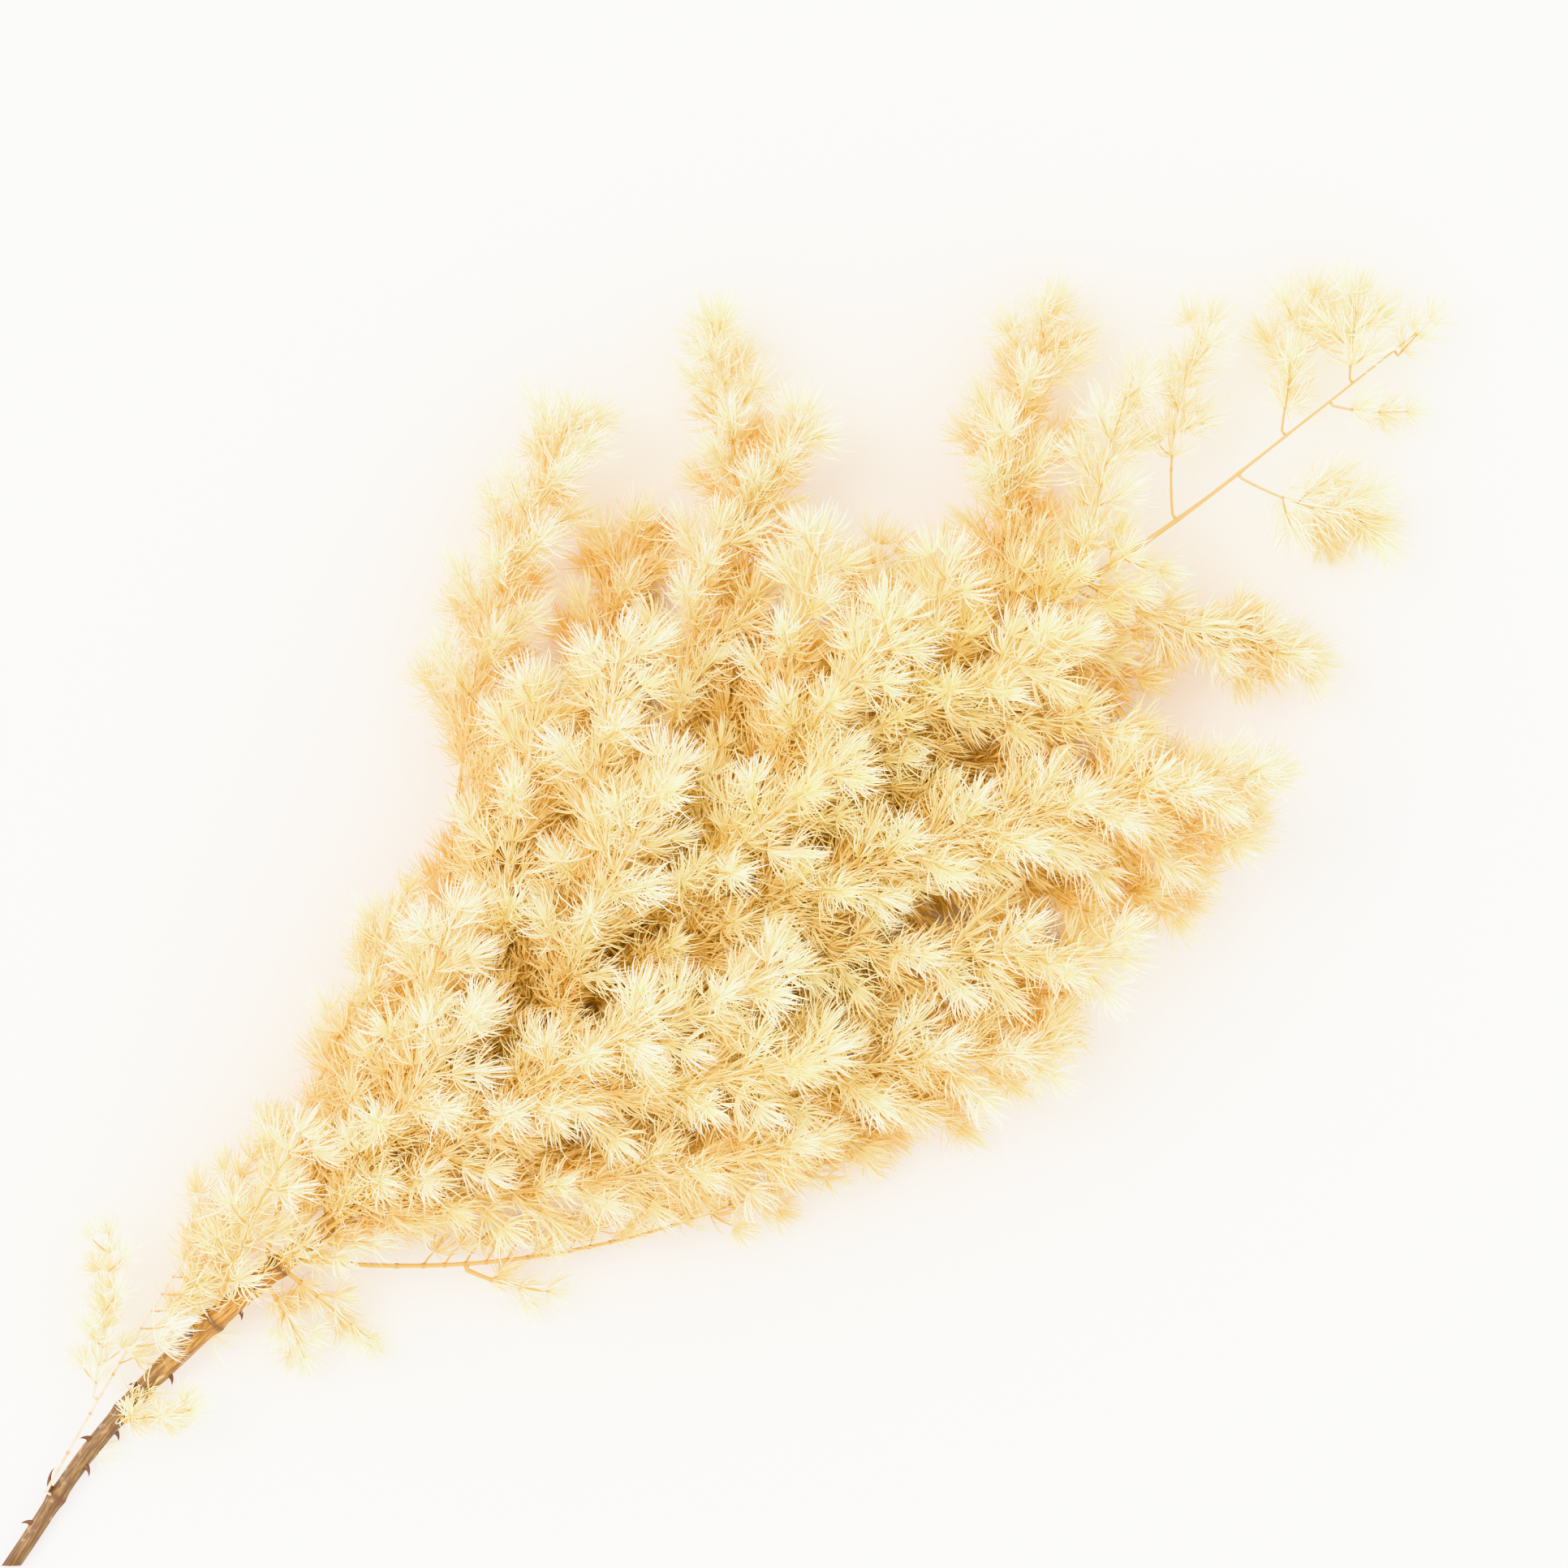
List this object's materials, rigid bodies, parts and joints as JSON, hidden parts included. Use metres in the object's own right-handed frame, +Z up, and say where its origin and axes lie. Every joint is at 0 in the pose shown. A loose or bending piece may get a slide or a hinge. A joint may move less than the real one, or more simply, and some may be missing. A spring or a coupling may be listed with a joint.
{
  "type": "dried asparagus fern branch",
  "caption": "Cut, bleached and dried branch of asparagus fern: a woody thorned cane with feathery sprays of needle tufts, lying on a surface.",
  "frame": {"origin": "centre of the branch's outline in plan, on the surface that it lies on", "axes": "+X along the cane from the cut end towards the growing tip, +Y to the left of it, +Z up from the surface"},
  "size_m": [0.7186, 0.3196, 0.1182],
  "materials": {
    "cane_bark": "dry brown-gold bark with fine lengthwise streaks",
    "dried_foliage": "matte, bleached and dried twigs and needles, ivory at the tips and golden at the roots"
  },
  "bodies": {
    "root": {"cane": "cane_bark", "left_spray_01": "dried_foliage", "left_spray_02": "dried_foliage", "left_spray_03": "dried_foliage", "left_spray_04": "dried_foliage", "left_spray_05": "dried_foliage", "left_spray_06": "dried_foliage", "left_spray_07": "dried_foliage", "left_spray_08": "dried_foliage", "left_spray_09": "dried_foliage", "left_spray_10": "dried_foliage", "left_spray_11": "dried_foliage", "left_spray_12": "dried_foliage", "left_spray_13": "dried_foliage", "left_spray_14": "dried_foliage", "left_spray_15": "dried_foliage", "left_spray_16": "dried_foliage", "left_spray_17": "dried_foliage", "left_spray_18": "dried_foliage", "left_spray_19": "dried_foliage", "left_spray_20": "dried_foliage", "left_spray_21": "dried_foliage", "left_spray_22": "dried_foliage", "left_spray_23": "dried_foliage", "left_spray_24": "dried_foliage", "left_spray_25": "dried_foliage", "right_spray_01": "dried_foliage", "right_spray_02": "dried_foliage", "right_spray_03": "dried_foliage", "right_spray_04": "dried_foliage", "right_spray_05": "dried_foliage", "right_spray_06": "dried_foliage", "right_spray_07": "dried_foliage", "right_spray_08": "dried_foliage", "right_spray_09": "dried_foliage", "right_spray_10": "dried_foliage", "right_spray_11": "dried_foliage", "right_spray_12": "dried_foliage", "right_spray_13": "dried_foliage", "right_spray_14": "dried_foliage", "right_spray_15": "dried_foliage", "right_spray_16": "dried_foliage", "right_spray_17": "dried_foliage", "right_spray_18": "dried_foliage", "right_spray_19": "dried_foliage", "right_spray_20": "dried_foliage", "right_spray_21": "dried_foliage", "right_spray_22": "dried_foliage", "top_spray_1": "dried_foliage", "top_spray_2": "dried_foliage", "top_spray_3": "dried_foliage", "top_spray_4": "dried_foliage", "top_spray_5": "dried_foliage", "top_spray_6": "dried_foliage", "under_spray_1": "dried_foliage", "under_spray_2": "dried_foliage", "under_spray_3": "dried_foliage", "under_spray_4": "dried_foliage", "under_spray_5": "dried_foliage", "end_spray": "dried_foliage"}
  },
  "joints": []
}
